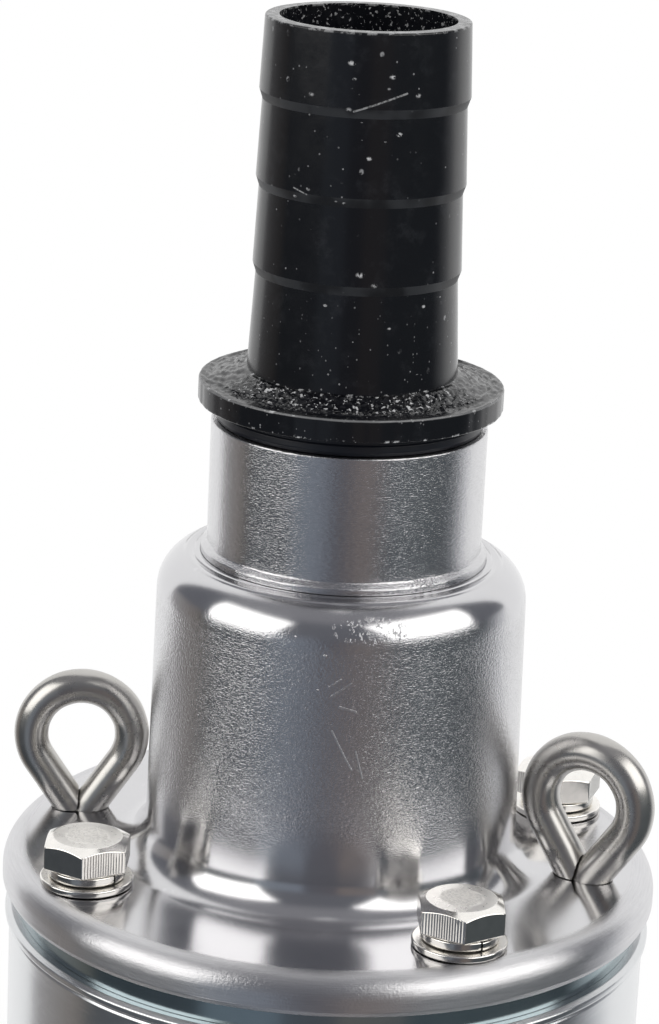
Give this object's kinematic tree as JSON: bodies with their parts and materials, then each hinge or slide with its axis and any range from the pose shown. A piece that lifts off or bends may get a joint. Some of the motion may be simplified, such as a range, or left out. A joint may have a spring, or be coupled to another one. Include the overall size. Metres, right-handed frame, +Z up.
{
  "type": "borehole submersible pump",
  "caption": "Slim upright submersible well pump: hose barb on a bolted stainless head with lifting eyes, staged barrel, slotted strainer and sealed motor.",
  "frame": {"origin": "centre of the motor base's flat underside, on the pump's axis", "axes": "+Z up along the pump's axis towards the hose barb; -Y is the side that the picture sees"},
  "size_m": [0.1076, 0.1076, 0.5425],
  "materials": {
    "black_paint": "semi-gloss black paint over cast iron, chipped at the edges",
    "black_rubber": "matt black rubber",
    "polished_stainless": "bright turned stainless steel",
    "brushed_stainless": "drawn stainless sheet with a fine round grain",
    "cast_stainless": "cast stainless steel, machined where it seats",
    "bearing_bronze": "machined bronze",
    "stage_plastic": "ivory moulded plastic",
    "core_steel": "varnished steel laminations",
    "bearing_steel": "ground bearing steel",
    "copper_winding": "varnished copper wire",
    "seal_ceramic": "lapped white ceramic"
  },
  "bodies": {
    "root": {"hose_barb": "black_paint", "outlet_gasket": "black_rubber", "pressure_diaphragm": "black_rubber", "discharge_neck": "polished_stainless", "lifting_eye_left": "polished_stainless", "lifting_eye_right": "polished_stainless", "cable_gland": "polished_stainless", "fill_plug": "polished_stainless", "head_bolt_1": "polished_stainless", "head_bolt_2": "polished_stainless", "head_bolt_3": "polished_stainless", "head_bolt_4": "polished_stainless", "spring_washer_1": "polished_stainless", "spring_washer_2": "polished_stainless", "spring_washer_3": "polished_stainless", "spring_washer_4": "polished_stainless", "flat_washer_1": "polished_stainless", "flat_washer_2": "polished_stainless", "flat_washer_3": "polished_stainless", "flat_washer_4": "polished_stainless", "bracket_bolt_1": "polished_stainless", "bracket_bolt_2": "polished_stainless", "bracket_bolt_3": "polished_stainless", "bracket_bolt_4": "polished_stainless", "base_screw_1": "polished_stainless", "base_screw_2": "polished_stainless", "base_screw_3": "polished_stainless", "discharge_head": "brushed_stainless", "pump_barrel": "brushed_stainless", "motor_shell": "brushed_stainless", "suction_strainer": "brushed_stainless", "valve_spring": "brushed_stainless", "top_bearing_housing": "cast_stainless", "suction_bracket": "cast_stainless", "motor_upper_bracket": "cast_stainless", "motor_lower_bracket": "cast_stainless", "motor_base": "cast_stainless", "valve_cage": "cast_stainless", "valve_seat": "bearing_bronze", "top_bearing_bush": "bearing_bronze", "diffuser_1": "stage_plastic", "diffuser_2": "stage_plastic", "diffuser_3": "stage_plastic", "stator_core": "core_steel", "upper_ball_bearing": "bearing_steel", "lower_ball_bearing": "bearing_steel", "winding_upper": "copper_winding", "winding_lower": "copper_winding", "seal_seat": "seal_ceramic"},
    "rotor": {"pump_shaft": "brushed_stainless", "impeller_1": "stage_plastic", "impeller_2": "stage_plastic", "impeller_3": "stage_plastic", "impeller_nut": "brushed_stainless", "shaft_coupling": "brushed_stainless", "sand_slinger": "black_rubber", "seal_rotor": "black_rubber", "motor_shaft": "brushed_stainless", "rotor_core": "core_steel"},
    "valve": {"valve_poppet": "bearing_bronze"}
  },
  "joints": [
    {"name": "rotor_spin", "type": "hinge", "parent": "root", "child": "rotor", "pos_m": [0, 0, 0.2], "axis": [0, 0, 1], "continuous": true},
    {"name": "check_valve_lift", "type": "slide", "parent": "root", "child": "valve", "axis": [0, 0, 1], "range_m": [0, 0.007], "stiffness_N_per_m": 80, "springref_m": -0.004, "deforming": ["valve_spring"]}
  ]
}
